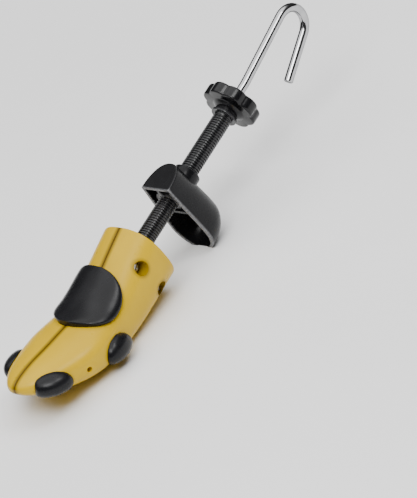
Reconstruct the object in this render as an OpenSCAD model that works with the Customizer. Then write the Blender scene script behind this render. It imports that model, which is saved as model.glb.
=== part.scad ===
/* [Stance] */
// Angle by which the screw rises toward the heel when the stretcher lies on its sole
rest_tilt = 12.5; // [11:0.5:14]
// Depth of the flat worn into the lowest part of the sole
sole_flat = 0.6; // [0.4:0.1:1]

/* [Last] */
// Length of the last from its heel end to its toe
last_len = 145.5; // [140:0.5:152]
// Distance from the reference point on the screw line to the heel end of the last
last_gap = 17; // [16:0.5:18.5]
// Width of the last at its heel end
rear_width = 52.5; // [50:0.5:56]
// Width under the instep
instep_width = 56; // [53:0.5:59]
// Width across the ball of the foot
ball_width = 66.8; // [63:0.2:70]
// Width toward the toe, before the end is rounded off
toe_width = 33; // [30:0.5:38]
// Height of the heel end
rear_height = 53; // [51:0.5:57]
// Height under the instep
instep_height = 41; // [40:0.5:44]
// Height at the ball of the foot
ball_height = 33; // [31:0.5:36]
// Height toward the toe, before the end is rounded off
toe_height = 15.5; // [14:0.5:18]
// How far the middle of the heel end lies below the screw line
rear_drop = 1.3; // [0.5:0.1:2.1]
// How far the middle of the instep section lies below the screw line
instep_drop = 5.3; // [4.7:0.1:5.9]
// How far the middle of the ball section lies above the screw line
ball_rise = 4.8; // [3.8:0.2:5.8]
// How far the middle of the toe section lies above the screw line
toe_rise = 24.7; // [22.7:0.5:26.7]
// Length of the rounded end of the toe
toe_round = 26; // [22:1:30]
// Wall of the moulded shells
last_wall = 3; // [2.6:0.1:3.2]
// Gap between the two halves when they are shut
seam_gap = 0.3; // [0.2:0.1:0.6]

/* [Spreader] */
// Slope of the ramps against the screw line
ramp_angle = 16; // [14:0.5:17]
// Length of the wedge block
wedge_len = 14; // [12:0.5:15]
// How far the wedge runs along the rails
wedge_travel = 24; // [20:1:25]
// Height of the ramp rails
rail_height = 16.4; // [15.6:0.2:17]
// Thickness of the plates that the rails and their feet are made from
rail_thick = 4.8; // [4.6:0.1:5]
// Thickness of the carrier plate between the halves
carrier_thick = 8; // [7:0.5:8.6]
// Height of the carrier plate
carrier_height = 18.4; // [17.6:0.2:19]
// Outside diameter of the carrier barrel
barrel_d = 22.8; // [22.6:0.1:23]
// Diameter of the cross pins
pin_d = 4; // [3.6:0.1:4.4]
// Diameter of the pan heads of the rail screws
screw_head_d = 7.6; // [6.6:0.2:8.6]
// Diameter of the rail screw shanks
screw_d = 3.5; // [3.1:0.1:3.9]
// Diameter of the deep wells over the rail screws
screw_well_d = 10.4; // [9.6:0.2:10.8]

/* [Screw and handle] */
// Outside diameter of the threaded plastic sleeve
sleeve_d = 14; // [13.4:0.1:14.4]
// Distance from the reference point to the front face of the knob
knob_x = 109; // [106:0.5:114]
// Diameter of the steel rod
rod_d = 6.6; // [6.2:0.1:6.8]
// Diameter of the threaded nose of the rod that drives the wedge
rod_nose_d = 6; // [5.4:0.1:6.1]
// Knob diameter across the lobes
knob_d = 41.5; // [38:0.5:46]
// Knob thickness
knob_thick = 9.4; // [8.4:0.2:12]
// Number of lobes round the knob
knob_lobes = 8; // [6:1:10]
// Radius of the hook loop, at the middle of the rod
hook_radius = 13.7; // [12:0.1:16]
// Distance from the reference point to the top of the hook loop, at the middle of the rod
hook_end = 203.8; // [198:0.2:210]
// Angle by which the free leg of the hook opens outward
hook_flare = 20; // [12:1:24]
// Length of the straight free leg of the hook
hook_leg = 37; // [28:1:42]

/* [Heel piece] */
// Distance from the reference point to the open rim of the heel piece
heel_x = 23.4; // [20:0.2:28]
// Depth of the heel piece from its rim to the back
heel_depth = 27; // [26:0.5:29]
// Greatest width of the heel piece
heel_width = 36; // [34:0.5:40]
// Width of the roof of the heel piece
roof_width = 27; // [26:0.5:30]
// Height of the roof above the screw line
roof_height = 17.5; // [16.5:0.5:19]
// Wall of the heel piece
heel_wall = 2.2; // [1.8:0.1:2.6]
// Outside diameter of the nut boss
heel_boss_d = 20; // [19.5:0.5:21.5]
// How far the nut boss stands out behind the heel piece
heel_boss_out = 1.5; // [1:0.5:3]

/* [Pads] */
// Length of an oval plug
plug_len = 28; // [24:0.5:30]
// Width of an oval plug
plug_width = 20.5; // [18:0.5:22]
// Height of the dome of a plug
plug_dome = 7.5; // [6:0.5:8.5]
// Diameter of the plug pegs
peg_d = 4; // [3.4:0.1:4.6]
// Length of the plug pegs
peg_len = 6; // [5:0.5:7]
// Thickness of the instep saddle
saddle_thick = 4.2; // [3.4:0.2:5]

/* [Hidden] */
$fn = 48;

// Gap between a soft or curved piece and what it lies on
seat_gap = 0.3;
// Radial clearance of a piece that turns or slides on a round seat
run_gap = 0.05;
// Radial clearance of a piece that is pressed or screwed in
press_gap = 0.02;
// Play beside a collar or washer
end_play = 0.1;

// Stations along the last where its sizes are given, as shares of its length
last_at = [0, 0.4, 0.68, 1];
last_widths = [rear_width, instep_width, ball_width, toe_width];
last_heights = [rear_height, instep_height, ball_height, toe_height];
last_middles = [-rear_drop, -instep_drop, ball_rise, toe_rise];
// Squareness of the section, where 2 is an ellipse
section_power = 2.5;
// Share of the length where the toe starts to round off
toe_start = 1 - toe_round / last_len;
// Share of the length over which the sections turn square to the screw line toward the heel end
rear_square = 0.22;
body_rings = 15;
toe_rings = 7;
half_steps = 14;

// Carrier, from the heel end forward
carrier_rear = -(last_gap + last_wall + 3.8);
ring_thick = 3.3;
flange_thick = 2.7;
washer_thick = 0.8;
collar_thick = 1.4;
rod_ring_thick = 1.3;
pocket_wall = 11;
sleeve_ring_rear = carrier_rear - end_play;
sleeve_ring_front = sleeve_ring_rear - ring_thick;
flange_rear = sleeve_ring_front - end_play;
flange_front = flange_rear - flange_thick;
sleeve_pocket_front = flange_front - end_play;
rod_ring_rear = sleeve_pocket_front;
rod_ring_front = rod_ring_rear - rod_ring_thick;
rear_washer_front = rod_ring_front - end_play - washer_thick;
collar_rear = rear_washer_front - end_play;
collar_front = collar_rear - collar_thick;
front_washer_front = collar_front - end_play - washer_thick;
rod_pocket_front = front_washer_front - end_play;
window_rear = rod_pocket_front - pocket_wall;
flange_d = sleeve_d + 4;
sleeve_ring_d = sleeve_d + 5;
collar_d = rod_d + 4.4;
washer_d = collar_d + 1;
rod_bore_d = rod_d + 0.6;
barrel_nose_d = washer_d + 5.6;

// Wedge and ramps, shut
wedge_rear = window_rear - 0.6;
rail_len = wedge_travel + wedge_len;
rail_front = wedge_rear - rail_len;
rail_near = carrier_thick / 2 + 0.4;
wedge_height = rail_height - 5.2;
slot_depth = 3.5;
lip_thick = 1.4;
flange_plate = 1.8;
slide_gap = 0.15;
window_front = rail_front - 1.5;
front_pin_x = window_front - 9;
nose_end = window_front - 3.5;

// Rail feet and their screws
foot_near = carrier_thick / 2 + 6.5;
foot_far = foot_near + 3.5;
foot_front = wedge_rear + 5.9;
screw_x = foot_front + 4.2;
foot_rear = screw_x + 4.8;
screw_mid_z = -4.4;
screw_spacing = 25.6;
screw_stagger = 1.2;
screws = [[screw_x - screw_stagger, screw_mid_z + screw_spacing / 2],
    [screw_x + screw_stagger, screw_mid_z - screw_spacing / 2]];
well_floor = foot_far + 2.4;
screw_boss_d = screw_well_d + 3.2;

// Cross pins: two behind the rails, one ahead of them
pin_reach = foot_far + 2.8;
pin_boss_d = pin_d + 3.6;
rear_pin_z = barrel_d / 2 + pin_boss_d / 2 + 0.3;
pins = [[carrier_rear - 5.2, rear_pin_z], [carrier_rear - 2.7, -rear_pin_z - 3.5], [front_pin_x, 0]];

// Screw line, behind the last
collar_x = knob_x - 7;
collar_len = 2;
collar_ring_d = sleeve_d + 5.4;
sleeve_end = knob_x + knob_thick - 3.2;
lobe_d = knob_d * 0.43;
hook_lean = 6.5;
hook_bend_x = 130;
hook_bend_r = 40;

// Heel piece
heel_boss_front = heel_x + 2;
heel_boss_rear = heel_x + heel_depth + heel_boss_out;
heel_power = 2.3;
heel_share = 0.3;
heel_rings = 9;
heel_steps = 14;
heel_sink = 0.6;

// Pads: places on the last as share of its length and angle round its section from the seam
near_plug_places = [[0.889, 97.6], [0.53, 103]];
far_plug_places = [[0.802, 88], [0.51, 92]];
near_spare_place = [0.725, 96];
far_spare_place = [0.657, 92];
saddle_mid = 0.408;
saddle_half_len = 0.2;
saddle_angle = 62.5;
saddle_power = 2.14;
saddle_side_power = 1.57;
saddle_rings = 14;
saddle_steps = 12;
saddle_flare = 0.8;
plug_gap = 0.4;
plug_rim = 1.6;
plug_steps = 24;

// Slope of a smooth curve through the values v at the stations k
function slope(k, v, i) =
    i == 0 ? (v[1] - v[0]) / (k[1] - k[0])
    : i == len(v) - 1 ? (v[i] - v[i - 1]) / (k[i] - k[i - 1])
    : (v[i + 1] - v[i - 1]) / (k[i + 1] - k[i - 1]);

function span_of(k, t, i = 0) = i >= len(k) - 2 || t <= k[i + 1] ? i : span_of(k, t, i + 1);

// Smooth curve through the values v at the stations k
function curve(k, v, t) =
    let (i = span_of(k, t), w = k[i + 1] - k[i], u = (t - k[i]) / w)
    let (a = slope(k, v, i) * w, b = slope(k, v, i + 1) * w)
    (2 * u^3 - 3 * u^2 + 1) * v[i] + (u^3 - 2 * u^2 + u) * a
    + (3 * u^2 - 2 * u^3) * v[i + 1] + (u^3 - u^2) * b;

// Signed power that turns a circle into a squarer oval
function square_off(c, n) = sign(c) * abs(c) ^ (2 / n);

// Part of the full section that is left where an end rounds off
function fade(u, n) = (1 - min(max(u, 0), 1) ^ n) ^ (1 / n);

function toe_fade(s, n) = fade((s - toe_start) / (1 - toe_start), n);

// Angle by which the middle line of the last leaves the screw line
function lean(s) =
    let (a = max(s - 0.01, 0), b = min(s + 0.01, 1), f = min(max(s, 0) / rear_square, 1))
    f * f * (3 - 2 * f) * atan((curve(last_at, last_middles, b) - curve(last_at, last_middles, a)) / ((b - a) * last_len));

// Point of the last at share s of its length and angle a round the section, moved out by grow
function last_point(s, a, grow = 0) =
    let (t = s - grow / last_len)
    let (h = (curve(last_at, last_heights, s) / 2 + grow) * toe_fade(t, 2.4))
    let (b = (curve(last_at, last_widths, s) / 2 + grow) * toe_fade(t, 2.5))
    let (z = h * square_off(cos(a), section_power))
    [-last_gap - s * last_len + z * sin(lean(s)),
     -b * square_off(sin(a), section_power),
     curve(last_at, last_middles, s) + z * cos(lean(s))];

function unit(v) = v / norm(v);
function along(s, a) = unit(last_point(s - 0.002, a) - last_point(s + 0.002, a));
function around(s, a) = last_point(s, a + 0.5) - last_point(s, a - 0.5);
function outward(s, a) = unit(cross(around(s, a), along(s, a)));

// Shares of the length at which the last's sections stand, from share a to share b
function last_shares(a, b) =
    [each [for (i = [0:body_rings - 1]) a + (toe_start - a) * i / body_rings],
     each [for (i = [0:toe_rings]) toe_start + (b - toe_start) * sin(88 * i / toe_rings)]];

// Half section, closed along the seam at y = seam
function half_ring(s, grow, seam) =
    [for (i = [0:half_steps])
        let (p = last_point(s, 180 * i / half_steps, grow), edge = i == 0 || i == half_steps)
        [p[0], edge ? seam : min(p[1], seam), p[2]]];

outer_rings = [for (s = last_shares(0, 1)) half_ring(s, 0, -seam_gap / 2)];
inner_rings = [for (s = last_shares(last_wall / last_len, 1 - last_wall / last_len)) half_ring(s, -last_wall, 1)];

// The part stands on the flat of its sole, with its origin under the middle of its outline
outer_points = [for (r = outer_rings) each r];
axis_height = -min([for (p = outer_points) p[0] * sin(rest_tilt) + p[2] * cos(rest_tilt)]) - sole_flat;
toe_reach = min([for (p = outer_points) p[0] * cos(rest_tilt) - p[2] * sin(rest_tilt)]);
hook_run = (hook_end - hook_radius - hook_radius * sin(hook_lean) - hook_bend_x
    - hook_bend_r * sin(hook_lean)) / cos(hook_lean);
hook_mid_z = hook_bend_r * (1 - cos(hook_lean)) + hook_run * sin(hook_lean) - hook_radius * cos(hook_lean);
hook_reach = (hook_end - hook_radius) * cos(rest_tilt) - hook_mid_z * sin(rest_tilt) + hook_radius + rod_d / 2;
origin_shift = -(toe_reach + hook_reach) / 2;

// Middle line of the bent rod as [x, z, heading]: a gentle bend, a straight run, the loop and the free leg
hook_turn = 180 + hook_lean - hook_flare;
hook_steps = 20;
hook_path = [
    [hook_bend_x - 4, 0, 0],
    for (i = [0:3])
        let (a = hook_lean * i / 3)
        [hook_bend_x + hook_bend_r * sin(a), hook_bend_r * (1 - cos(a)), a],
    for (i = [0:hook_steps])
        let (a = hook_lean - hook_turn * i / hook_steps)
        [hook_end - hook_radius - hook_radius * sin(a), hook_mid_z + hook_radius * cos(a), a],
    let (a = hook_lean - hook_turn)
        [hook_end - hook_radius - hook_radius * sin(a) + hook_leg * cos(a),
         hook_mid_z + hook_radius * cos(a) + hook_leg * sin(a), a],
];
function rod_ring(p) =
    [for (i = [0:23])
        let (y = (rod_d / 2 - 0.02) * sin(15 * i), z = (rod_d / 2 - 0.02) * cos(15 * i))
        [p[0] - z * sin(p[2]), y, p[1] + z * cos(p[2])]];

// Stands a piece drawn along the screw line on the floor
module stand() {
    translate([origin_shift, 0, axis_height]) rotate([0, -rest_tilt, 0]) children();
}

// Cuts off what would reach below the floor
module above_floor() {
    difference() {
        children();
        translate([-300, -100, -40]) cube([600, 200, 40]);
    }
}

// Solid through a row of closed rings with the same number of points
module skin(rings) {
    n = len(rings[0]);
    last = len(rings) - 1;
    sides = [for (i = [0:last - 1], j = [0:n - 1])
        let (a = i * n + j, b = i * n + (j + 1) % n)
        each [[a, b, b + n], [a, b + n, a + n]]];
    first_cap = [for (j = [n - 1:-1:0]) j];
    last_cap = [for (j = [0:n - 1]) last * n + j];
    polyhedron([for (r = rings) each r], [each sides, first_cap, last_cap]);
}

// Round bar along the screw line from x = a to x = b
module bar(d, a, b) {
    translate([a, 0, 0]) rotate([0, 90, 0]) cylinder(d = d, h = b - a);
}

// Ring along the screw line from x = a to x = b
module ring(outer, inner, a, b) {
    difference() {
        bar(outer, a, b);
        bar(inner, a - 1, b + 1);
    }
}

// Round bar on the near side at x and z, from y = -a out to y = -b
module side_bar(d, x, z, a, b) {
    translate([x, -a, z]) rotate([90, 0, 0]) cylinder(d = d, h = b - a);
}

// Plate on the near side with the plan outline given as [x, distance from the seam]
module side_plate(outline, low, high) {
    translate([0, 0, low]) linear_extrude(height = high - low) polygon([for (p = outline) [p[0], -p[1]]]);
}

// Puts a piece drawn about +Z on the surface of the last, with +X along the last
module on_last(place) {
    x = along(place[0], place[1]);
    z = outward(place[0], place[1]);
    y = cross(z, x);
    p = last_point(place[0], place[1]);
    multmatrix([[x[0], y[0], z[0], p[0]], [x[1], y[1], z[1], p[1]], [x[2], y[2], z[2], p[2]]]) children();
}

// Distance from the seam to the ramp face at x, shut
function ramp_y(x) = rail_near + (x - rail_front) * tan(ramp_angle);

// Slanted strip beside the ramp, from depth a to depth b behind its face
function ramp_strip(x0, x1, a, b) =
    [[x0, ramp_y(x0) + a], [x1, ramp_y(x1) + a], [x1, ramp_y(x1) + b], [x0, ramp_y(x0) + b]];

module half_bosses(places) {
    for (p = screws) side_bar(screw_boss_d, p[0], p[1], foot_far, 40);
    for (p = pins) side_bar(pin_boss_d, p[0], p[1], carrier_thick / 2 + seat_gap, 40);
    for (x = [rail_front + 8, wedge_rear - 12])
        side_plate([[x, ramp_y(x) + rail_thick], [x + 2.4, ramp_y(x + 2.4) + rail_thick], [x + 2.4, 40], [x, 40]],
            -rail_height / 2, rail_height / 2);
    for (place = places)
        on_last(place) translate([0, 0, -peg_len - 1]) cylinder(d = peg_d + 4.4, h = peg_len);
}

module half_bores(places) {
    for (p = screws) {
        side_bar(screw_well_d, p[0], p[1], well_floor, 45);
        side_bar(screw_d + 0.3, p[0], p[1], foot_far - 1, well_floor + 1);
    }
    for (p = pins) side_bar(pin_d + 2 * run_gap, p[0], p[1], 0, pin_reach + 0.6);
    for (place = places)
        on_last(place) translate([0, 0, -peg_len - 3]) cylinder(d = peg_d + 0.2, h = peg_len + 8);
    bar(sleeve_d + 1.2, carrier_rear, 0);
    side_plate([[wedge_rear - 9, foot_near], [wedge_rear - 9, ramp_y(wedge_rear - 9) + rail_thick],
        [wedge_rear + 0.3, ramp_y(wedge_rear) + rail_thick + 0.4], [foot_front, foot_far + 0.3],
        [foot_front, foot_near]], -rail_height / 2 - 0.2, rail_height / 2 + 0.2);
}

module last_half(places) {
    color([0.93, 0.77, 0.13]) above_floor() stand() difference() {
        skin(outer_rings);
        difference() {
            skin(inner_rings);
            half_bosses(places);
        }
        half_bores(places);
    }
}

// Slotted ramp with a foot that carries the two screws
module ramp_rail() {
    color([0.72, 0.73, 0.75]) stand() difference() {
        union() {
            side_plate(ramp_strip(rail_front, wedge_rear, 0, rail_thick), -rail_height / 2, rail_height / 2);
            side_plate([[wedge_rear, ramp_y(wedge_rear) + 0.6], [wedge_rear, ramp_y(wedge_rear) + rail_thick],
                [foot_front - 0.6, foot_far], [foot_rear, foot_far], [foot_rear, foot_near],
                [foot_front - 0.6, foot_near]], -rail_height / 2, rail_height / 2);
            side_plate([[foot_front, foot_near], [foot_rear, foot_near], [foot_rear, foot_far],
                [foot_front, foot_far]], screws[1][1] - 3.6, screws[0][1] + 3.6);
        }
        side_plate(ramp_strip(rail_front - 1, wedge_rear, lip_thick, slot_depth),
            -wedge_height / 2 - slide_gap, wedge_height / 2 + slide_gap);
        side_plate(ramp_strip(rail_front - 1, wedge_rear, -1, lip_thick + 0.1),
            -wedge_height / 4 - slide_gap, wedge_height / 4 + slide_gap);
        for (p = screws) side_bar(screw_d + 2 * press_gap, p[0], p[1], foot_near - 1, foot_far + 1);
    }
}

module rail_screws() {
    color([0.85, 0.85, 0.86]) stand() for (p = screws) {
        side_bar(screw_head_d, p[0], p[1], well_floor, well_floor + 2.2);
        side_bar(screw_d, p[0], p[1], foot_near, well_floor);
    }
}

// Carrier that the sleeve, the rod and both halves are held by
module spreader_carrier() {
    color([0.22, 0.22, 0.24]) stand() difference() {
        union() {
            rotate([90, 0, 0]) linear_extrude(height = carrier_thick, center = true) {
                translate([front_pin_x, -carrier_height / 2])
                    square([window_rear - front_pin_x, carrier_height]);
                translate([front_pin_x, 0]) circle(d = carrier_height);
                for (p = [pins[0], pins[1]]) {
                    translate(p) circle(d = pin_d + 4);
                    translate([p[0] - pin_d / 2 - 2, min(p[1], 0)]) square([pin_d + 4, abs(p[1])]);
                }
            }
            bar(barrel_nose_d, window_rear, sleeve_pocket_front);
            bar(barrel_d, sleeve_pocket_front - 1, carrier_rear);
            bar(rod_nose_d + 5, nose_end - 1.5, window_front);
        }
        translate([window_front, -20, -wedge_height / 2 - 0.6])
            cube([window_rear - window_front, 40, wedge_height + 1.2]);
        bar(sleeve_ring_d + 2 * press_gap, sleeve_pocket_front, 0);
        bar(washer_d + 0.5, rod_pocket_front, 0);
        bar(rod_d + 2 * run_gap, window_rear - 1, rod_pocket_front + 1);
        bar(rod_nose_d + 2 * run_gap, nose_end - 0.5, window_front + 1);
        for (p = pins) translate([p[0], carrier_thick, p[1]])
            rotate([90, 0, 0]) cylinder(d = pin_d + 2 * press_gap, h = 2 * carrier_thick);
    }
}

module cross_pins() {
    color([0.8, 0.8, 0.82]) stand() for (p = pins) translate([p[0], pin_reach, p[1]])
        rotate([90, 0, 0]) cylinder(d = pin_d, h = 2 * pin_reach);
}

module rod_thrust_washers() {
    color([0.9, 0.9, 0.86]) stand() for (x = [rear_washer_front, front_washer_front])
        ring(washer_d, rod_bore_d, x, x + washer_thick);
}

module rod_retaining_ring() {
    color([0.75, 0.75, 0.77]) stand()
        ring(washer_d + 0.5 - 2 * press_gap, rod_bore_d, rod_ring_front, rod_ring_rear);
}

module sleeve_retaining_ring() {
    color([0.25, 0.25, 0.27]) stand()
        ring(sleeve_ring_d, sleeve_d + 0.3, sleeve_ring_front, sleeve_ring_rear);
}

// Block that runs on the rod and pushes both rails apart
module wedge_block() {
    color([0.78, 0.66, 0.36]) stand() difference() {
        union() for (side = [0, 1]) mirror([0, side, 0]) {
            wedge_front = wedge_rear - wedge_len;
            side_plate([[wedge_front, 0], [wedge_rear, 0], [wedge_rear, ramp_y(wedge_rear) - slide_gap],
                [wedge_front, ramp_y(wedge_front) - slide_gap]], -wedge_height / 2, wedge_height / 2);
            side_plate(ramp_strip(wedge_front, wedge_rear, -1, lip_thick + 0.4),
                -wedge_height / 4, wedge_height / 4);
            side_plate(ramp_strip(wedge_front, wedge_rear, lip_thick + 0.2, lip_thick + flange_plate),
                -wedge_height / 2, wedge_height / 2);
        }
        bar(rod_nose_d + 2 * run_gap, wedge_rear - wedge_len - 1, wedge_rear + 1);
    }
}

// Steel rod with its threaded nose, and the hook that it ends in
module hook_rod() {
    color([0.83, 0.84, 0.86]) stand() {
        bar(rod_nose_d, nose_end, window_rear + 1);
        bar(rod_d, window_rear + 0.8, hook_bend_x);
        skin([for (p = hook_path) rod_ring(p)]);
    }
}

module rod_collar() {
    color([0.7, 0.7, 0.72]) stand() ring(collar_d, rod_d + 2 * press_gap, collar_front, collar_rear);
}

module threaded_sleeve() {
    color([0.1, 0.1, 0.11]) stand() difference() {
        union() {
            bar(sleeve_d, flange_front, sleeve_end);
            bar(flange_d, flange_front, flange_rear);
        }
        bar(rod_bore_d, flange_front - 1, sleeve_end + 1);
    }
}

// Lobed knob with the hub that grips the end of the sleeve
module knob() {
    color([0.08, 0.08, 0.09]) stand() difference() {
        union() {
            bar(collar_ring_d, collar_x, collar_x + collar_len);
            bar(collar_ring_d - 2, collar_x, knob_x + 1);
            bar(knob_d - lobe_d, knob_x, knob_x + knob_thick);
            for (i = [0:knob_lobes - 1]) rotate([360 * i / knob_lobes, 0, 0])
                translate([0, 0, (knob_d - lobe_d) / 2]) bar(lobe_d, knob_x, knob_x + knob_thick);
        }
        bar(sleeve_d + 2 * press_gap, collar_x - 1, sleeve_end + end_play);
        bar(rod_bore_d, sleeve_end, knob_x + knob_thick + 1);
    }
}

// Level section of the heel piece at height z, grown by grow and opened to x = front
function heel_ring(z, low, grow, front) =
    let (u = (z - low) / (roof_height + grow - low))
    let (k = [0, 0.35, 1])
    let (b = (curve(k, [heel_width * 0.97, heel_width, roof_width] / 2, u) + grow) * fade(1 - u / heel_share, 2.2))
    let (d = (curve(k, [0.9, 1, 0.86] * heel_depth, u) + grow) * fade(1 - u / heel_share, 2.2))
    [for (i = [0:heel_steps])
        let (a = 90 - 180 * i / heel_steps, edge = i == 0 || i == heel_steps)
        [edge ? front : heel_x + d * square_off(cos(a), heel_power), b * square_off(sin(a), heel_power), z]];

function heel_rings_of(low, grow, front) =
    [for (i = [0:heel_rings])
        let (u = i < 6 ? heel_share * (1 - cos(15 + 75 * i / 5)) : heel_share + (1 - heel_share) * (i - 5) / 4)
        heel_ring(low + (roof_height + grow - low) * u, low, grow, front)];

heel_low = -(axis_height + (heel_x + heel_depth * 0.4) * sin(rest_tilt)) / cos(rest_tilt) - heel_sink;

// Hollow cup that bears on the back of the shoe, with the boss that rides the thread
module heel_piece() {
    color([0.12, 0.12, 0.13]) above_floor() stand() difference() {
        union() {
            difference() {
                skin(heel_rings_of(heel_low, 0, heel_x));
                skin(heel_rings_of(heel_low + heel_wall, -heel_wall, heel_x - 2));
            }
            bar(heel_boss_d, heel_boss_front, heel_boss_rear);
            intersection() {
                skin(heel_rings_of(heel_low + heel_wall / 2, -heel_wall / 2, heel_x));
                union() {
                    translate([heel_x + 0.6, -30, -heel_boss_d / 2]) cube([heel_depth, 60, heel_wall]);
                    translate([heel_x + 0.6, -heel_wall / 2, 0]) cube([heel_depth, heel_wall, 30]);
                }
            }
        }
        bar(sleeve_d + 2 * run_gap, heel_x - 5, heel_boss_rear + 1);
    }
}

// Share of the length reached from s by going d along the wall at angle a, in n short steps
function walk_along(s, a, d, n = 8) =
    n == 0 ? s
    : walk_along(s + 0.004 * d / n / norm(last_point(s + 0.002, a) - last_point(s - 0.002, a)), a, d - d / n, n - 1);

// Angle reached from a by going d round the section at share s, in n short steps
function walk_round(s, a, d, n = 8) =
    n == 0 ? a : walk_round(s, a + d / n / norm(around(s, a)), d - d / n, n - 1);

// Point over the wall at share r of the way from the middle of a plug to its rim, and angle t
function plug_point(place, r, t, lift) =
    let (s = walk_along(place[0], place[1], -r * cos(t) * plug_len / 2))
    let (a = walk_round(s, place[1], r * sin(t) * plug_width / 2))
    last_point(s, a) + outward(s, a) * plug_gap + outward(place[0], place[1]) * lift;

function plug_ring(place, r, lift) =
    [for (i = [0:plug_steps - 1]) plug_point(place, r, 360 * i / plug_steps, lift)];

// Oval dome that follows the wall, with its peg
module plug(place) {
    color([0.09, 0.09, 0.1]) stand() {
        skin([
            for (r = [0.12, 0.6, 1]) plug_ring(place, r, 0),
            for (i = [0:5]) plug_ring(place, cos(17 * i), plug_rim + (plug_dome - plug_rim) * sin(17 * i)),
        ]);
        on_last(place) translate([0, 0, -peg_len]) cylinder(d = peg_d, h = peg_len + 2);
    }
}

// Half of the angle that the saddle spans at share s of the last's length
function saddle_reach(s) = saddle_angle * (1 - (abs(s - saddle_mid) / saddle_half_len)^saddle_power)^(1 / saddle_side_power);

// Underside and top of the saddle at share s; the sides stand off so that the halves can spread below them
function saddle_ring(s) =
    let (reach = saddle_reach(s), n = saddle_steps)
    [each [for (i = [0:n])
        let (a = reach * (1 - 2 * i / n))
        last_point(s, a, seat_gap + saddle_flare * sin(a)^2)],
     each [for (i = [0:n])
        let (k = 1 - 2 * i / n, a = -reach * k)
        last_point(s, a, seat_gap + saddle_flare * sin(a)^2 + saddle_thick * (0.4 + 0.6 * fade(abs(k), 2.5)))]];

// Curved pad that raises the instep
module instep_saddle() {
    color([0.12, 0.12, 0.14]) stand()
        skin([for (i = [0:saddle_rings]) saddle_ring(saddle_mid - saddle_half_len * cos(10 + 160 * i / saddle_rings))]);
}

module far_side() {
    mirror([0, 1, 0]) children();
}

module near_last_half() { last_half([each near_plug_places, near_spare_place]); }
module far_last_half() { far_side() last_half([each far_plug_places, far_spare_place]); }
module near_ramp_rail() { ramp_rail(); }
module far_ramp_rail() { far_side() ramp_rail(); }
module near_rail_screws() { rail_screws(); }
module far_rail_screws() { far_side() rail_screws(); }
module near_toe_plug() { plug(near_plug_places[0]); }
module near_ball_plug() { plug(near_plug_places[1]); }
module far_toe_plug() { far_side() plug(far_plug_places[0]); }
module far_ball_plug() { far_side() plug(far_plug_places[1]); }

spreader_carrier();
cross_pins();
rod_thrust_washers();
rod_retaining_ring();
sleeve_retaining_ring();
near_last_half();
near_ramp_rail();
near_rail_screws();
far_last_half();
far_ramp_rail();
far_rail_screws();
wedge_block();
hook_rod();
rod_collar();
threaded_sleeve();
knob();
heel_piece();
near_toe_plug();
near_ball_plug();
far_toe_plug();
far_ball_plug();
instep_saddle();
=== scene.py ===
import math
import bpy
import bmesh
from mathutils import Vector, Matrix


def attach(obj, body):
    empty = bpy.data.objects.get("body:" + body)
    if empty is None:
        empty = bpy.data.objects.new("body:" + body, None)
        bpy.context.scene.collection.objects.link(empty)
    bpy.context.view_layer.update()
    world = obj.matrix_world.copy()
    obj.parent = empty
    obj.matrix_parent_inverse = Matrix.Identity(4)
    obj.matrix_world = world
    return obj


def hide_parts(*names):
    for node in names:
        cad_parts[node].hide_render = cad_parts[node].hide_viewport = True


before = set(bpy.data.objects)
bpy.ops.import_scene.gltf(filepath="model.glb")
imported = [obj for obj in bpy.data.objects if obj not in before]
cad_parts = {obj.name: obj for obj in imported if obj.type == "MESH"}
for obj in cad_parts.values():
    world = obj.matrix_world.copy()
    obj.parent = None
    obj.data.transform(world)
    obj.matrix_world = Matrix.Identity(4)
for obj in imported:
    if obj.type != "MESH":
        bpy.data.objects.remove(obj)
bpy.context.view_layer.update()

# Lengths are in mm until row() takes them to metres. Points are given along
# the screw line: x runs toward the hook, -y is the near side, z the instep.
MM = 0.001
SIDES = (("near", -1), ("far", 1))

# Stance in the shared frame
TILT = math.radians(12.5)
SHIFT = -20.0398
LIFT = 41.4211

# Last: sizes at four shares of its length, from the heel end to the toe
LEN = 145.5
GAP = 17.0
AT = [0, 0.4, 0.68, 1]
WIDTHS = [52.5, 56, 66.8, 33]
HEIGHTS = [53, 41, 33, 15.5]
MIDDLES = [-1.3, -5.3, 4.8, 24.7]
TOE_START = 1 - 26 / LEN
SECTION_POWER = 2.5
TOE_HEIGHT_POWER, TOE_WIDTH_POWER = 2.4, 2.5
REAR_SQUARE = 0.22
HALF_SEAM = 0.15
WALL = 3.0

# Places on the last: (x, z) across it, or (share, angle) on its wall
SCREWS = [(-37.5, 8.4), (-35.1, -17.2)]
PINS = [(-29.0, 15.5), (-26.5, -19.0), (-94.9, 0.0)]
PLUGS = {-1: [(0.889, 97.6), (0.53, 103)], 1: [(0.802, 88), (0.51, 92)]}
SPARE = {-1: (0.725, 96), 1: (0.657, 92)}
WELL_R = 5.2
RAIL_FRONT, RAIL_REAR = -84.4, -46.4
RAIL_THICK = 4.8
RAMP_SLOPE = math.tan(math.radians(16))

# Rod, sleeve and knob
ROD_R = 3.3
ROD_BORE_R = 3.6
SLEEVE_R = 7.0
SLEEVE_PITCH = 2.0
FLANGE_R = 9.0
NOSE_R = 3.0
NOSE_PITCH = 1.5
LOBES, LOBE_R, LOBE_OUT = 8, 8.92, 11.83

# Hook: radius at the middle of the rod, reach, angles and free leg
HOOK_R, HOOK_END, HOOK_LEG = 13.7, 203.8, 37.0
HOOK_LEAN, HOOK_FLARE = math.radians(6.5), math.radians(20)
BEND_X, BEND_R = 130, 40

# Heel piece: rim, depth, widths, roof height and wall
HX, HD, HW, ROOF_W, ROOF_Z, HWALL = 23.4, 27.0, 36.0, 27.0, 17.5, 2.2
HEEL_POWER = 2.3
LOW = -(LIFT + (HX + HD * 0.4) * math.sin(TILT)) / math.cos(TILT) - 0.6

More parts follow.
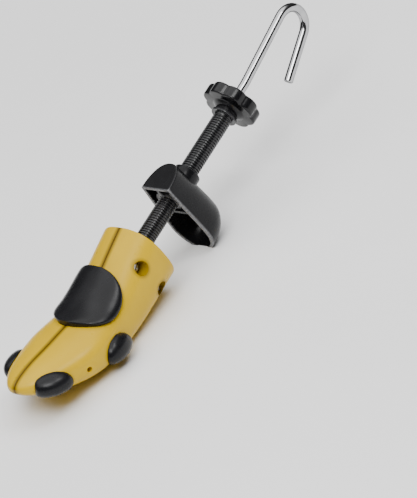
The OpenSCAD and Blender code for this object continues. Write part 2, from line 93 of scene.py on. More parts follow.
# Pads
PLUG_LONG, PLUG_WIDE = 14, 10.25
PLUG_GAP, PLUG_RIM, PLUG_RISE = 0.4, 1.7, 5.8
PEG_R, PEG_HOLE_R = 2.0, 2.1
SADDLE_MID, SADDLE_HALF = 0.408, 0.2
SADDLE_ANGLE, SADDLE_THICK = 62.5, 4.2
SADDLE_BACK = 0.092


def row(p):
    """Point along the screw line, in mm, to the shared frame, in metres."""
    x, y, z = p
    c, s = math.cos(TILT), math.sin(TILT)
    return Vector((x * c - z * s + SHIFT, y, x * s + z * c + LIFT)) * MM


def slope(k, v, i):
    if i == 0:
        return (v[1] - v[0]) / (k[1] - k[0])
    if i == len(v) - 1:
        return (v[i] - v[i - 1]) / (k[i] - k[i - 1])
    return (v[i + 1] - v[i - 1]) / (k[i + 1] - k[i - 1])


def curve(k, v, t):
    """Smooth curve through the values v at the stations k."""
    i = 0
    while i < len(k) - 2 and t > k[i + 1]:
        i += 1
    w = k[i + 1] - k[i]
    u = (t - k[i]) / w
    a, b = slope(k, v, i) * w, slope(k, v, i + 1) * w
    start = (2 * u**3 - 3 * u**2 + 1) * v[i] + (u**3 - 2 * u**2 + u) * a
    return start + (3 * u**2 - 2 * u**3) * v[i + 1] + (u**3 - u**2) * b


def square_off(c, n):
    return math.copysign(abs(c) ** (2 / n), c)


def fade(u, n):
    return (1 - min(max(u, 0), 1) ** n) ** (1 / n)


def lean(s):
    """Angle of a section, which turns square to the screw line at the heel end."""
    a, b = max(s - 0.01, 0), min(s + 0.01, 1)
    f = min(max(s, 0) / REAR_SQUARE, 1)
    rise = curve(AT, MIDDLES, b) - curve(AT, MIDDLES, a)
    return f * f * (3 - 2 * f) * math.atan(rise / ((b - a) * LEN))


def last_point(s, deg, grow=0.0):
    """Point on the near side of the last at share s, deg from its crest."""
    a = math.radians(deg)
    t = (s - grow / LEN - TOE_START) / (1 - TOE_START)
    h = (curve(AT, HEIGHTS, s) / 2 + grow) * fade(t, TOE_HEIGHT_POWER)
    b = (curve(AT, WIDTHS, s) / 2 + grow) * fade(t, TOE_WIDTH_POWER)
    z = h * square_off(math.cos(a), SECTION_POWER)
    tip = lean(s)
    return Vector((
        -GAP - s * LEN + z * math.sin(tip),
        -b * square_off(math.sin(a), SECTION_POWER),
        curve(AT, MIDDLES, s) + z * math.cos(tip),
    ))


def along(s, a):
    return (last_point(s - 0.002, a) - last_point(s + 0.002, a)).normalized()


def around(s, a):
    return last_point(s, a + 0.5) - last_point(s, a - 0.5)


def outward(s, a):
    return around(s, a).cross(along(s, a)).normalized()


# Meshes
def add_object(name, mesh, mat=None):
    ob = bpy.data.objects.new(name, mesh)
    bpy.context.scene.collection.objects.link(ob)
    if mat is not None:
        mesh.materials.clear()
        mesh.materials.append(mat)
    return ob


def loft(name, rings, mat=None, loop=False):
    """Solid through rings of points, closed by end faces or, as a loop, on itself."""
    bm = bmesh.new()
    rows = [[bm.verts.new(row(p)) for p in r] for r in rings]
    n = len(rows[0])
    pairs = list(zip(rows, rows[1:]))
    if loop:
        pairs.append((rows[-1], rows[0]))
    for r0, r1 in pairs:
        for j in range(n):
            k = (j + 1) % n
            bm.faces.new((r0[j], r0[k], r1[k], r1[j]))
    if not loop:
        bm.faces.new(rows[0])
        bm.faces.new(rows[-1])
    bmesh.ops.remove_doubles(bm, verts=bm.verts, dist=1e-7)
    bmesh.ops.recalc_face_normals(bm, faces=bm.faces)
    me = bpy.data.meshes.new(name)
    bm.to_mesh(me)
    bm.free()
    return add_object(name, me, mat)


def turns(n):
    return [2 * math.pi * i / n for i in range(n)]


def disc(x, r, n):
    return [(x, r * math.cos(t), r * math.sin(t)) for t in turns(n)]


def side_disc(x, y, z, r, n):
    return [(x + r * math.cos(t), y, z + r * math.sin(t)) for t in turns(n)]


def bar_x(r, x0, x1, n=64):
    return loft("tool", [disc(x0, r, n), disc(x1, r, n)])


def bar_side(r, x, z, y0, y1, side, n=40):
    """Round tool across the last: side -1 is near, 1 is far."""
    return loft("tool", [side_disc(x, side * y, z, r, n) for y in (y0, y1)])


def plate(outline, z0, z1, side):
    """Tool with a plan outline of (x, distance from the seam)."""
    return loft("tool", [[(x, side * y, z) for x, y in outline] for z in (z0, z1)])


def slab(x0, x1, half, z0, z1):
    """Box tool, even about the seam."""
    corners = ((x0, -half), (x1, -half), (x1, half), (x0, half))
    return loft("tool", [[(x, y, z) for x, y in corners] for z in (z0, z1)])


def on_side(p, side):
    """Near-side point, mirrored for the far side."""
    return (p.x, p.y if side < 0 else -p.y, p.z)


def on_wall(s, a, r, low, high, side):
    """Round tool that stands square on the wall of the last."""
    o = last_point(s, a)
    z = outward(s, a)
    x = along(s, a)
    y = z.cross(x)
    rings = []
    for h in (low, high):
        foot = o + z * h
        ring = [foot + x * (r * math.cos(t)) + y * (r * math.sin(t)) for t in turns(32)]
        rings.append([on_side(p, side) for p in ring])
    return loft("tool", rings)


def combine(ob, tool, operation):
    mod = ob.modifiers.new("b", "BOOLEAN")
    mod.object = tool
    mod.operation = operation
    mod.solver = "MANIFOLD"
    deps = bpy.context.evaluated_depsgraph_get()
    new = bpy.data.meshes.new_from_object(ob.evaluated_get(deps))
    ob.modifiers.clear()
    old = ob.data
    ob.data = new
    bpy.data.meshes.remove(old)
    tool_mesh = tool.data
    bpy.data.objects.remove(tool)
    bpy.data.meshes.remove(tool_mesh)


def cut(ob, tool):
    combine(ob, tool, "DIFFERENCE")


def cut_at_floor(ob):
    """Takes off what lies below the floor, which leaves a rubbed-down flat."""
    bm = bmesh.new()
    place = Matrix.Translation((0, 0, -0.05)) @ Matrix.Diagonal((0.8, 0.4, 0.1, 1))
    bmesh.ops.create_cube(bm, size=1.0, matrix=place)
    me = bpy.data.meshes.new("block")
    bm.to_mesh(me)
    bm.free()
    cut(ob, add_object("tool", me))


def dress(ob, mat):
    ob.data.materials.clear()
    ob.data.materials.append(mat)


def smooth(ob, angle):
    for p in ob.data.polygons:
        p.use_smooth = True
    ob.data.set_sharp_from_angle(angle=math.radians(angle))
    return ob


def seat(piece, node, body):
    """Puts a visible piece in the place of a CAD node, on its body."""
    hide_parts(node)
    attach(piece, body)


# Materials
def material(name):
    m = bpy.data.materials.new(name)
    m.use_nodes = True
    nt = m.node_tree
    for n in list(nt.nodes):
        nt.nodes.remove(n)
    out = nt.nodes.new("ShaderNodeOutputMaterial")
    bsdf = nt.nodes.new("ShaderNodeBsdfPrincipled")
    nt.links.new(bsdf.outputs[0], out.inputs[0])
    coord = nt.nodes.new("ShaderNodeTexCoord")
    return m, nt, bsdf, coord


def noise(nt, coord, scale, detail=3.0, stretch=(1, 1, 1)):
    mp = nt.nodes.new("ShaderNodeMapping")
    mp.inputs["Scale"].default_value = stretch
    nt.links.new(coord.outputs["Object"], mp.inputs["Vector"])
    n = nt.nodes.new("ShaderNodeTexNoise")
    n.inputs["Scale"].default_value = scale
    n.inputs["Detail"].default_value = detail
    nt.links.new(mp.outputs[0], n.inputs["Vector"])
    return n


def ramp(nt, source, stops):
    r = nt.nodes.new("ShaderNodeValToRGB")
    els = r.color_ramp.elements
    els[0].position, els[0].color = stops[0][0], stops[0][1]
    els[1].position, els[1].color = stops[-1][0], stops[-1][1]
    for pos, col in stops[1:-1]:
        e = els.new(pos)
        e.color = col
    nt.links.new(source, r.inputs[0])
    return r


def grey(v):
    return (v, v, v, 1)


def maths(nt, operation, *sources):
    node = nt.nodes.new("ShaderNodeMath")
    node.operation = operation
    for source, socket in zip(sources, node.inputs):
        nt.links.new(source, socket)
    return node.outputs[0]


def blend(nt, factor, a, b):
    mix = nt.nodes.new("ShaderNodeMix")
    mix.data_type = "RGBA"
    nt.links.new(factor, mix.inputs["Factor"])
    nt.links.new(a, mix.inputs["A"])
    mix.inputs["B"].default_value = b
    return mix.outputs["Result"]


# Painted highlights: a light colour laid in patches on sharp edges and crests, found by pointiness
def painted_edge_highlights(nt, coord, colour, edge, highlight_pointiness):
    geo = nt.nodes.new("ShaderNodeNewGeometry")
    edge_highlight_mask = ramp(nt, geo.outputs["Pointiness"], [(highlight_pointiness[0], grey(0)), (highlight_pointiness[1], grey(1))])
    spots = noise(nt, coord, 900, 2)
    factor = maths(nt, "MULTIPLY", edge_highlight_mask.outputs[0], spots.outputs["Fac"])
    return blend(nt, factor, colour, (*edge, 1))


def finish_of(name, dark, light, rough, bump, bump_scale, metallic=0.0,
              stretch=(1, 1, 1), tone_scale=60.0, edge=None, highlight_pointiness=(0.53, 0.6),
              spec=0.3, painted_shade=None, rim=None):
    """Moulded, cast or drawn finish: uneven tone and gloss, fine relief, painted highlights on edges
    and crests, and painted shade where given.
    """
    m, nt, bsdf, coord = material(name)
    tone = noise(nt, coord, tone_scale, 4, stretch)
    base = ramp(nt, tone.outputs["Fac"], [(0.3, (*dark, 1)), (0.7, (*light, 1))])
    colour = base.outputs[0]
    if edge is not None:
        colour = painted_edge_highlights(nt, coord, colour, edge, highlight_pointiness)
    if painted_shade is not None:
        colour = painted_shade(nt, coord, colour)
    nt.links.new(colour, bsdf.inputs["Base Color"])
    gloss = noise(nt, coord, 180, 5, stretch)
    rr = ramp(nt, gloss.outputs["Fac"], [(0.25, grey(rough[0])), (0.8, grey(rough[1]))])
    nt.links.new(rr.outputs[0], bsdf.inputs["Roughness"])
    fine = noise(nt, coord, bump_scale, 3, stretch)
    bp = nt.nodes.new("ShaderNodeBump")
    bp.inputs["Strength"].default_value = bump[0]
    bp.inputs["Distance"].default_value = bump[1]
    nt.links.new(fine.outputs["Fac"], bp.inputs["Height"])
    nt.links.new(bp.outputs[0], bsdf.inputs["Normal"])
    bsdf.inputs["Metallic"].default_value = metallic
    bsdf.inputs["Specular IOR Level"].default_value = spec
    if rim is not None:
        bsdf.inputs["Specular Tint"].default_value = grey(rim)
    return m


def vector_maths(nt, operation, source, value=None):
    node = nt.nodes.new("ShaderNodeVectorMath")
    node.operation = operation
    nt.links.new(source, node.inputs[0])
    if value is not None:
        node.inputs[1].default_value = value
    return node


def shaded_recesses(nt, coord, colour):
    """Painted shade on the plastic along the seam and down the screw wells. Stops are in metres."""
    split = nt.nodes.new("ShaderNodeSeparateXYZ")
    nt.links.new(coord.outputs["Object"], split.inputs[0])
    off = maths(nt, "ABSOLUTE", split.outputs["Y"])
    # painted shade in the seam between the halves
    seam = ramp(nt, off, [(0.00024, grey(0.95)), (0.00044, grey(0))])
    colour = blend(nt, seam.outputs[0], colour, (0.04, 0.016, 0.0, 1))
    # painted shade down each screw well
    for x, z in SCREWS:
        centre = row((x, 0, z))
        move = vector_maths(nt, "SUBTRACT", coord.outputs["Object"], (centre.x, 0, centre.z))
        flat = vector_maths(nt, "MULTIPLY", move.outputs[0], (1, 0, 1))
        far = vector_maths(nt, "LENGTH", flat.outputs[0])
        well = ramp(nt, far.outputs["Value"], [(0.00521, grey(0.85)), (0.00535, grey(0))])
        colour = blend(nt, well.outputs[0], colour, (0.07, 0.032, 0.0, 1))
    return colour


DRAWN = (1, 6, 6)
# the last's plastic carries painted shade along its seam and in its screw wells
yellow = finish_of(
    "last_plastic", (0.56, 0.352, 0.001), (0.62, 0.397, 0.002), (0.26, 0.36),
    (0.08, 0.00003), 900, tone_scale=35, spec=0.22, painted_shade=shaded_recesses)
# the edge colours of the black plastics below are painted highlights on their edges, rims and thread
# crests
black_gloss = finish_of(
    "black_gloss", (0.0045, 0.0045, 0.0052), (0.0075, 0.0075, 0.0085), (0.2, 0.32),
    (0.1, 0.00004), 1100, edge=(0.3, 0.3, 0.31), spec=0.17, highlight_pointiness=(0.53, 0.57))
black_knob = finish_of(
    "black_knob", (0.0042, 0.0042, 0.0048), (0.0075, 0.0075, 0.0085), (0.14, 0.26),
    (0.12, 0.00004), 1300, edge=(0.10, 0.10, 0.105), spec=0.3)
black_thread = finish_of(
    "black_thread", (0.0038, 0.0038, 0.0043), (0.0072, 0.0072, 0.008), (0.18, 0.3),
    (0.12, 0.00003), 1500, edge=(0.16, 0.16, 0.165), spec=0.4)
pad_black = finish_of(
    "pad_black", (0.0055, 0.0055, 0.0065), (0.0095, 0.0095, 0.011), (0.24, 0.34),
    (0.12, 0.00004), 1600, spec=0.22)
chrome = finish_of(
    "chrome", (0.44, 0.44, 0.45), (0.52, 0.52, 0.53), (0.06, 0.14),
    (0.08, 0.00002), 700, metallic=1.0, stretch=DRAWN, rim=0.25)
steel = finish_of(
    "steel", (0.56, 0.57, 0.58), (0.68, 0.69, 0.70), (0.22, 0.36),
    (0.15, 0.00003), 900, metallic=1.0, stretch=DRAWN)
cast_metal = finish_of(
    "cast_metal", (0.50, 0.51, 0.52), (0.60, 0.61, 0.62), (0.38, 0.55),
    (0.35, 0.00008), 700, metallic=1.0)
brass = finish_of(
    "brass", (0.62, 0.45, 0.19), (0.72, 0.55, 0.25), (0.22, 0.36),
    (0.2, 0.00004), 800, metallic=1.0, stretch=(1, 4, 4))
filled_plastic = finish_of(
    "filled_plastic", (0.016, 0.016, 0.018), (0.028, 0.028, 0.031), (0.45, 0.6),
    (0.4, 0.00008), 1200)
acetal = finish_of(
    "acetal", (0.70, 0.68, 0.62), (0.78, 0.76, 0.71), (0.35, 0.5),
    (0.15, 0.00003), 900)


# Last
def body_shares(a, b, body, toe):
    """Shares of the length, which crowd toward the rounded end of the toe."""
    straight = [a + (TOE_START - a) * i / body for i in range(body)]
    bends = [math.sin(math.radians(88.5 * i / toe)) for i in range(toe + 1)]
    return straight + [TOE_START + (b - TOE_START) * u for u in bends]


def half_ring(s, grow, side, steps=72):
    """Half section whose seam edges are eased."""
    top, sole = last_point(s, 0, grow), last_point(s, 180, grow)
    up = (top - sole).normalized() if (top - sole).length > 1e-6 else Vector((0, 0, 1))
    ease = min(0.55, (top - sole).length * 0.1, abs(last_point(s, 90, grow).y) * 0.2)
    corner = ((1.0, 0.0), (0.35, 0.25), (0.08, 0.6))
    pts = []
    for d, y in corner:
        q = top - up * (ease * d)
        pts.append((q.x, -(HALF_SEAM + ease * y), q.z))
    for i in range(1, steps):
        q = last_point(s, 2 + 176 * i / steps, grow)
        pts.append((q.x, min(q.y, -(HALF_SEAM + ease * 0.9)), q.z))
    for d, y in reversed(corner):
        q = sole + up * (ease * d)
        pts.append((q.x, -(HALF_SEAM + ease * y), q.z))
    return [(x, y * -side, z) for x, y, z in pts]


def open_ring(s, grow, side, steps=32):
    """Half section that reaches past the seam, for the hollow."""
    pts = []
    for i in range(steps + 1):
        q = last_point(s, 180 * i / steps, grow)
        y = 1.0 if i in (0, steps) else q.y
        pts.append((q.x, y * -side, q.z))
    return pts


def ramp_y(x):
    return 4.4 + (x - RAIL_FRONT) * RAMP_SLOPE


def rail_back(x):
    return ramp_y(x) + RAIL_THICK


def hollow(side):
    """Inside of a half, with room left for bosses and ribs."""
    rings = [open_ring(s, -WALL, side) for s in body_shares(WALL / LEN, 1 - WALL / LEN, 30, 12)]
    inner = loft("tool", rings)
    for x, z in SCREWS:
        cut(inner, bar_side(6.8, x, z, 14, 45, side))
    for x, z in PINS:
        cut(inner, bar_side(3.8, x, z, 4.3, 45, side))
    for x in (-76.4, -58.4):
        rib = [(x, rail_back(x)), (x + 2.4, rail_back(x + 2.4)), (x + 2.4, 45), (x, 45)]
        cut(inner, plate(rib, -8.2, 8.2, side))
    for s, a in PLUGS[side] + [SPARE[side]]:
        cut(inner, on_wall(s, a, 4.2, -7.0, -1.0, side))
    return inner


def last_half(name, side):
    eased = ((0.0, -0.8), (0.0, -0.45), (0.0009, -0.12))
    rings = [half_ring(s, grow, side) for s, grow in eased]
    rings += [half_ring(s, 0, side) for s in body_shares(0.0045, 1, 70, 30)]
    ob = loft(name, rings)
    cut(ob, hollow(side))
    for x, z in SCREWS:
        cut(ob, bar_side(WELL_R, x, z, 16.4, 50, side, 56))
        cut(ob, bar_side(1.9, x, z, 13, 17.5, side))
    for x, z in PINS:
        cut(ob, bar_side(2.05, x, z, 0, 17.4, side))
    for s, a in PLUGS[side] + [SPARE[side]]:
        cut(ob, on_wall(s, a, PEG_HOLE_R, -9.0, 6.0, side))
    cut(ob, bar_x(7.6, -23.8, 0))
    foot = [(-55.4, 10.5), (-55.4, rail_back(-55.4)), (-46.1, ramp_y(RAIL_REAR) + 5.2),
            (-40.5, 14.3), (-40.5, 10.5)]
    cut(ob, plate(foot, -8.4, 8.4, side))
    cut_at_floor(ob)
    dress(ob, yellow)
    return smooth(ob, 32)


for tag, side in SIDES:
    seat(last_half(tag + "_shell", side), tag + "_last_half", tag + "_half")


# Screws with a cross recess
HEAD = [(1.2, 18.52), (2.4, 18.38), (3.3, 18.05), (3.75, 17.5), (3.8, 16.9),
        (3.7, 16.42), (1.75, 16.42), (1.75, 10.52)]


def cross_screw(x, z, side):
    ob = loft("screw", [side_disc(x, side * y, z, r, 48) for r, y in HEAD])
    for turn in (20, 110):
        t = math.radians(turn + (15 if z < 0 else 0))
        ux, uz = math.cos(t), math.sin(t)
        slot = []
        for y, half, wide in ((19.2, 2.35, 0.42), (17.0, 1.1, 0.3)):
            corners = ((-half, -wide), (half, -wide), (half, wide), (-half, wide))
            slot.append([(x + ux * l - uz * w, side * y, z + uz * l + ux * w) for l, w in corners])
        cut(ob, loft("tool", slot))
    return ob


def rail_screws(name, side):
    both = bmesh.new()
    made = [cross_screw(x, z, side) for x, z in SCREWS]
    for ob in made:
        both.from_mesh(ob.data)
        bpy.data.objects.remove(ob)
    me = bpy.data.meshes.new(name)
    both.to_mesh(me)
    both.free()
    return smooth(add_object(name, me, steel), 40)


for tag, side in SIDES:
    screws = rail_screws(tag + "_cross_screws", side)
    seat(screws, tag + "_rail_screws", tag + "_half")


# Threads and rod
def thread_r(crest, depth, pitch, x, t, hand):
    """Radius of a rounded trapezoid thread; hand 1 is right, -1 is left."""
    u = (x / pitch - hand * t / (2 * math.pi)) % 1.0
    w = abs(u - 0.5) * 2
    k = min(max((w - 0.22) / 0.46, 0), 1)
    return crest - depth * (k * k * (3 - 2 * k))


def thread_rings(x0, x1, step, run_out, n, crest, depth, pitch, hand):
    """Rings of a thread that fades in and out over run_out."""
    rings = []
    x = x0
    while x < x1:
        k = min((x - x0) / run_out, 1, max(0.0, (x1 - x) / run_out))
        ring = []
        for t in turns(n):
            r = thread_r(crest, depth * k, pitch, x, t, hand)
            ring.append((x, r * math.cos(t), r * math.sin(t)))
        rings.append(ring)
        x += step
    return rings


def threaded_sleeve():
    n = 56
    flange = ((-30.0, ROD_BORE_R), (-30.0, 8.8), (-29.8, FLANGE_R), (-27.5, FLANGE_R),
              (-27.3, 8.8), (-27.3, 7.1), (-27.0, SLEEVE_R), (-21.6, SLEEVE_R))
    shank = ((101.6, SLEEVE_R), (115.0, SLEEVE_R), (115.2, 6.8), (115.2, ROD_BORE_R))
    rings = [disc(x, r, n) for x, r in flange]
    rings += thread_rings(-21.0, 101.2, 0.2, 2.0, n, SLEEVE_R, 0.85, SLEEVE_PITCH, 1)
    rings += [disc(x, r, n) for x, r in shank]
    return smooth(loft("sleeve_thread", rings, black_thread, loop=True), 50)


seat(threaded_sleeve(), "threaded_sleeve", "screw")


def rod_path():
    """Middle line of the rod as (x, z, angle, radius)."""
    bend_end = BEND_X + BEND_R * math.sin(HOOK_LEAN)
    loop_x = HOOK_END - HOOK_R
    run = (loop_x - HOOK_R * math.sin(HOOK_LEAN) - bend_end) / math.cos(HOOK_LEAN)
    loop_z = BEND_R * (1 - math.cos(HOOK_LEAN)) + run * math.sin(HOOK_LEAN)
    loop_z -= HOOK_R * math.cos(HOOK_LEAN)
    path = [(x, 0.0, 0.0, r) for x, r in
            ((-45.0, 3.05), (-44.9, 3.2), (-44.7, ROD_R), (40.0, ROD_R), (129.0, ROD_R))]
    for i in range(9):
        a = HOOK_LEAN * i / 8
        path.append((BEND_X + BEND_R * math.sin(a), BEND_R * (1 - math.cos(a)), a, ROD_R))
    turn = math.pi + HOOK_LEAN - HOOK_FLARE
    for i in range(73):
        a = HOOK_LEAN - turn * i / 72
        path.append((loop_x - HOOK_R * math.sin(a), loop_z + HOOK_R * math.cos(a), a, ROD_R))
    x, z, a, _ = path[-1]
    for back, r in ((0.9, ROD_R), (0.55, 3.23), (0.25, 3.02), (0.06, 2.7), (0.0, 2.3)):
        reach = HOOK_LEG - back
        path.append((x + reach * math.cos(a), z + reach * math.sin(a), a, r))
    return path


def hook_rod():
    n = 40
    rings = []
    for x, z, a, r in rod_path():
        ring = []
        for t in turns(n):
            h = r * math.cos(t)
            ring.append((x - h * math.sin(a), r * math.sin(t), z + h * math.cos(a)))
        rings.append(ring)
    return smooth(loft("bent_rod", rings, chrome), 40)


def rod_nose():
    n = 40
    rings = [disc(-89.4, 2.3, n), disc(-89.0, 2.9, n)]
    rings += thread_rings(-88.6, -47.0, 0.16, 1.5, n, NOSE_R, 0.55, NOSE_PITCH, -1)
    rings += [disc(-46.6, NOSE_R, n), disc(-44.8, NOSE_R, n)]
    return smooth(loft("rod_nose_thread", rings, steel), 50)


for piece in (hook_rod(), rod_nose()):
    seat(piece, "hook_rod", "handle")


# Knob
def lobed(x, inset, n):
    """Outline of the lobes, blended where they meet."""
    pts = []
    for t in turns(n):
        total = 0.0
        for k in range(LOBES):
            d = t - 2 * math.pi * k / LOBES
            d = (d + math.pi) % (2 * math.pi) - math.pi
            q = (LOBE_R - inset) ** 2 - (LOBE_OUT * math.sin(d)) ** 2
            if q > 0 and abs(d) < 1.2:
                total += (LOBE_OUT * math.cos(d) + math.sqrt(q)) ** 44
        r = min(total ** (1 / 44), LOBE_OUT + LOBE_R - inset)
        pts.append((x, r * math.sin(t), r * math.cos(t)))
    return pts


def knob():
    n = 240
    back = [(116.8, ROD_BORE_R), (116.8, 12.6), (117.1, 13.1), (118.1, 13.6), (118.4, 14.2)]
    rim = [(118.4, 1.7), (118.33, 1.1), (118.12, 0.6), (117.75, 0.22), (117.2, 0.04),
           (116.6, 0), (110.8, 0), (110.2, 0.04), (109.65, 0.22), (109.28, 0.6),
           (109.07, 1.1), (109.0, 1.7)]
    hub = [(109.0, 12.8), (108.9, 12.4), (108.6, 11.9), (108.1, 11.3), (107.4, 10.2),
           (106.8, 9.3), (106.5, 8.7)]
    for x in (106.2, 105.5, 104.8):
        hub += [(x, 8.7), (x - 0.15, 8.3), (x - 0.4, 8.3), (x - 0.55, 8.7)]
    collar = [(104.1, 8.7), (104.0, 9.6), (103.8, 9.7), (102.2, 9.7), (102.0, 9.5),
              (102.0, 7.02), (115.3, 7.02), (115.3, ROD_BORE_R)]

    def flat(x, r):
        return [(x, r * math.sin(t), r * math.cos(t)) for t in turns(n)]

    rings = [flat(x, r) for x, r in back]
    rings += [lobed(x, inset, n) for x, inset in rim]
    rings += [flat(x, r) for x, r in hub + collar]
    return smooth(loft("lobed_knob", rings, black_knob, loop=True), 40)


seat(knob(), "knob", "screw")


# Heel piece
def heel_ring(z, low, grow, front, top, steps=56):
    u = (z - low) / (top - low)
    k = [0, 0.35, 1]
    close = fade(1 - u / 0.3, 2.2)
    b = (curve(k, [HW * 0.97 / 2, HW / 2, ROOF_W / 2], u) + grow) * close
    d = (curve(k, [0.9 * HD, HD, 0.86 * HD], u) + grow) * close
    pts = []
    for i in range(steps + 1):
        a = math.radians(90 - 180 * i / steps)
        x = HX + max(d * square_off(math.cos(a), HEEL_POWER), 0.02)
        if i in (0, steps):
            x = front
        pts.append((x, b * square_off(math.sin(a), HEEL_POWER), z))
    return pts


def heel_rings(low, grow, front, ease=0.0):
    """Rings from the closed bottom to the roof, whose edge is eased if asked."""
    top = ROOF_Z + grow
    us = [0.3 * (1 - math.cos(math.radians(15 + 75 * i / 24))) for i in range(25)]
    us += [0.3 + 0.7 * i / 24 for i in range(1, 24)]
    rings = [heel_ring(low + (top - low) * u, low, grow, front, top) for u in us]
    if not ease:
        return rings + [heel_ring(top, low, grow, front, top)]
    for i in range(4):
        t = math.radians(90 * i / 3)
        z = top - ease * (1 - math.sin(t))
        rings.append(heel_ring(z, low, grow - ease * (1 - math.cos(t)), front, top))
    for inside in (0.5, 1.5):
        rings.append(heel_ring(top, low, grow - ease - inside, front, top))
    return rings


def heel_piece():
    ob = loft("heel_cup", heel_rings(LOW, 0, HX, 0.8))
    cut(ob, loft("tool", heel_rings(LOW + HWALL, -HWALL, HX - 2)))
    boss = [(25.4, 10.0), (51.2, 10.0), (51.7, 9.75), (51.9, 9.4)]
    combine(ob, loft("tool", [disc(x, r, 72) for x, r in boss]), "UNION")
    web = slab(HX + 0.6, HX + 27, 30, -10.0, -7.8)
    rib = slab(HX + 0.6, HX + 27, HWALL / 2, 0, 30)
    for inside in (web, rib):
        combine(inside, loft("tool", heel_rings(LOW + HWALL / 2, -HWALL / 2, HX)), "INTERSECT")
    combine(ob, web, "UNION")
    combine(ob, rib, "UNION")
    cut(ob, bar_x(SLEEVE_R + 0.05, 18, 60, 72))
    cut_at_floor(ob)
    dress(ob, black_gloss)
    return smooth(ob, 32)


seat(heel_piece(), "heel_piece", "heel")


# Plugs
def walk_along(s, a, d):
    """Share of the length reached after d mm along the surface."""
    for n in range(8, 0, -1):
        step = d / n
        s += 0.004 * step / (last_point(s + 0.002, a) - last_point(s - 0.002, a)).length
        d -= step
    return s


def walk_round(s, a, d):
    """Angle reached after d mm round the surface."""
    for n in range(8, 0, -1):
        step = d / n
        a += step / around(s, a).length
        d -= step
    return a


def plug(name, s0, a0, side):
    up = outward(s0, a0)

    def ring(r, lift):
        pts = []
        for t in turns(64):
            s = walk_along(s0, a0, -r * math.cos(t) * PLUG_LONG)
            a = walk_round(s, a0, r * math.sin(t) * PLUG_WIDE)
            p = last_point(s, a) + outward(s, a) * PLUG_GAP + up * lift
            pts.append(on_side(p, side))
        return pts

    under = ((0.06, 0), (0.3, 0), (0.6, 0), (0.9, 0), (0.985, 0.0))
    rim = ((1.0, 0.25), (1.0, 1.2), (0.99, 1.6))
    rings = [ring(r, lift) for r, lift in under + rim]
    for i in range(1, 17):
        t = math.radians(5.4 * i)
        rings.append(ring(0.985 * math.cos(t), PLUG_RIM + PLUG_RISE * math.sin(t)))
    dome = loft(name, rings)
    combine(dome, on_wall(s0, a0, PEG_R, -6.0, 2.0, side), "UNION")
    dress(dome, pad_black)
    return smooth(dome, 50)


for tag, side in SIDES:
    for kind, (s0, a0) in zip(("toe", "ball"), PLUGS[side]):
        ob = plug(tag + "_" + kind + "_dome", s0, a0, side)
        seat(ob, tag + "_" + kind + "_plug", tag + "_" + kind)


# Saddle
def saddle():
    n, m = 48, 56

    def pad_point(s, a, lift):
        back = SADDLE_BACK * (max(-a, 0) / SADDLE_ANGLE) ** 1.2
        gap = 0.3 + 0.8 * math.sin(math.radians(a)) ** 2
        p = last_point(s - back, a, gap + lift)
        return (p.x, p.y, p.z)

    rings = []
    for i in range(m + 1):
        s = SADDLE_MID - SADDLE_HALF * math.cos(math.radians(10 + 160 * i / m))
        share = abs(s - SADDLE_MID) / SADDLE_HALF
        reach = SADDLE_ANGLE * (1 - share ** 2.14) ** (1 / 1.57)
        across = [1 - 2 * j / n for j in range(n + 1)]
        ring = [pad_point(s, reach * k, 0) for k in across]
        for k in across:
            thick = SADDLE_THICK * (0.4 + 0.6 * fade(abs(k), 2.5))
            ring.append(pad_point(s, -reach * k, thick))
        rings.append(ring)
    return smooth(loft("saddle_pad", rings, pad_black), 50)


seat(saddle(), "instep_saddle", "saddle")

# CAD nodes that keep their shape
for node, mat in (
    ("spreader_carrier", filled_plastic),
    ("cross_pins", steel),
    ("rod_thrust_washers", acetal),
    ("rod_retaining_ring", steel),
    ("sleeve_retaining_ring", filled_plastic),
    ("near_ramp_rail", cast_metal),
    ("far_ramp_rail", cast_metal),
    ("wedge_block", brass),
    ("rod_collar", steel),
):
    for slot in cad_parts[node].material_slots:
        slot.material = mat

# Floor
HALF_FLOOR, FLOOR_Z = 6, -0.0003
corners = [(-1, -1), (1, -1), (1, 1), (-1, 1)]
me = bpy.data.meshes.new("floor")
me.from_pydata([(HALF_FLOOR * x, HALF_FLOOR * y, FLOOR_Z) for x, y in corners], [], [(0, 1, 2, 3)])
m, nt, bsdf, coord = material("floor_paper")
tone = noise(nt, coord, 6, 3)
col = ramp(nt, tone.outputs["Fac"], [(0.3, grey(0.90)), (0.7, grey(0.93))])
nt.links.new(col.outputs[0], bsdf.inputs["Base Color"])
bsdf.inputs["Roughness"].default_value = 0.85
floor = add_object("floor", me, m)


# Light
def area(name, at, aim, size, power):
    data = bpy.data.lights.new(name, "AREA")
    data.shape = "RECTANGLE"
    data.size, data.size_y = size
    data.energy = power
    lamp = bpy.data.objects.new(name, data)
    lamp.location = at
    lamp.rotation_mode = "QUATERNION"
    lamp.rotation_quaternion = (Vector(aim) - Vector(at)).to_track_quat("-Z", "Y")
    bpy.context.scene.collection.objects.link(lamp)


area("key", (-0.9, -0.8, 1.8), (0, 0, 0.03), (1.0, 1.0), 27)
area("fill", (0.43, -1.08, 1.75), (0, 0, 0.06), (0.7, 0.7), 11)

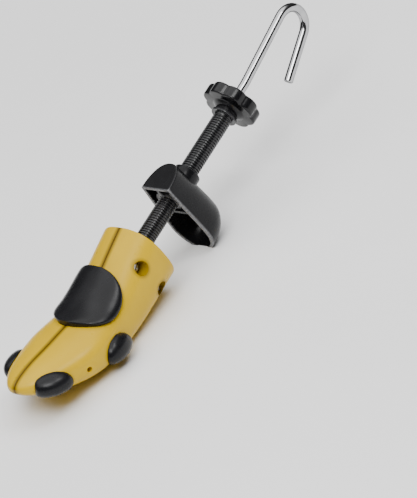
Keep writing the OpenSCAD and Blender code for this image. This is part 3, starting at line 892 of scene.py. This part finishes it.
# Sky: dark toward the horizon and bright overhead
world = bpy.data.worlds.new("studio")
bpy.context.scene.world = world
world.use_nodes = True
wt = world.node_tree
wcoord = wt.nodes.new("ShaderNodeTexCoord")
wsplit = wt.nodes.new("ShaderNodeSeparateXYZ")
wt.links.new(wcoord.outputs["Generated"], wsplit.inputs[0])
bands = [(0.0, grey(0.012)), (0.5, grey(0.03)), (0.66, grey(0.14)), (0.82, grey(1.0))]
sky = ramp(wt, wsplit.outputs["Z"], bands)
wt.links.new(sky.outputs[0], wt.nodes["Background"].inputs[0])
wt.nodes["Background"].inputs[1].default_value = 2.35

# Camera: THETA and PHI turn the screw line toward it, IMAGE_ANGLE turns the
# picture, and ORIGIN_PX is where the screw line's zero lies in the photograph
THETA, PHI, IMAGE_ANGLE = math.radians(22), math.radians(40), math.radians(57.4)
MM_PX = 0.70
IMAGE_W, IMAGE_H = 417, 498
ORIGIN_PX = (150.63, 230.41)
DISTANCE = 8.0
SENSOR = 36.0
axis_s = Vector((math.cos(THETA), -math.sin(THETA) * math.cos(PHI), math.sin(THETA) * math.sin(PHI)))
axis_p = Vector((0, -math.sin(PHI), -math.cos(PHI)))
ca, sa = math.cos(IMAGE_ANGLE), math.sin(IMAGE_ANGLE)
to_frame = Matrix.Rotation(-TILT, 3, "Y")
right = to_frame @ (ca * axis_s + sa * axis_p)
up = to_frame @ (sa * axis_s - ca * axis_p)
back = right.cross(up)
centre = row((0, 0, 0)) + right * ((IMAGE_W / 2 - ORIGIN_PX[0]) * MM_PX * MM)
centre -= up * ((IMAGE_H / 2 - ORIGIN_PX[1]) * MM_PX * MM)
cam_data = bpy.data.cameras.new("camera")
cam_data.sensor_width = SENSOR
cam_data.lens = SENSOR / 2 * DISTANCE / (IMAGE_H * MM_PX * MM / 2)
cam_data.clip_start, cam_data.clip_end = 0.01, 100
cam = bpy.data.objects.new("camera", cam_data)
basis = Matrix((right, up, back)).transposed()
cam.matrix_world = Matrix.Translation(centre + back * DISTANCE) @ basis.to_4x4()
bpy.context.scene.collection.objects.link(cam)
bpy.context.scene.camera = cam
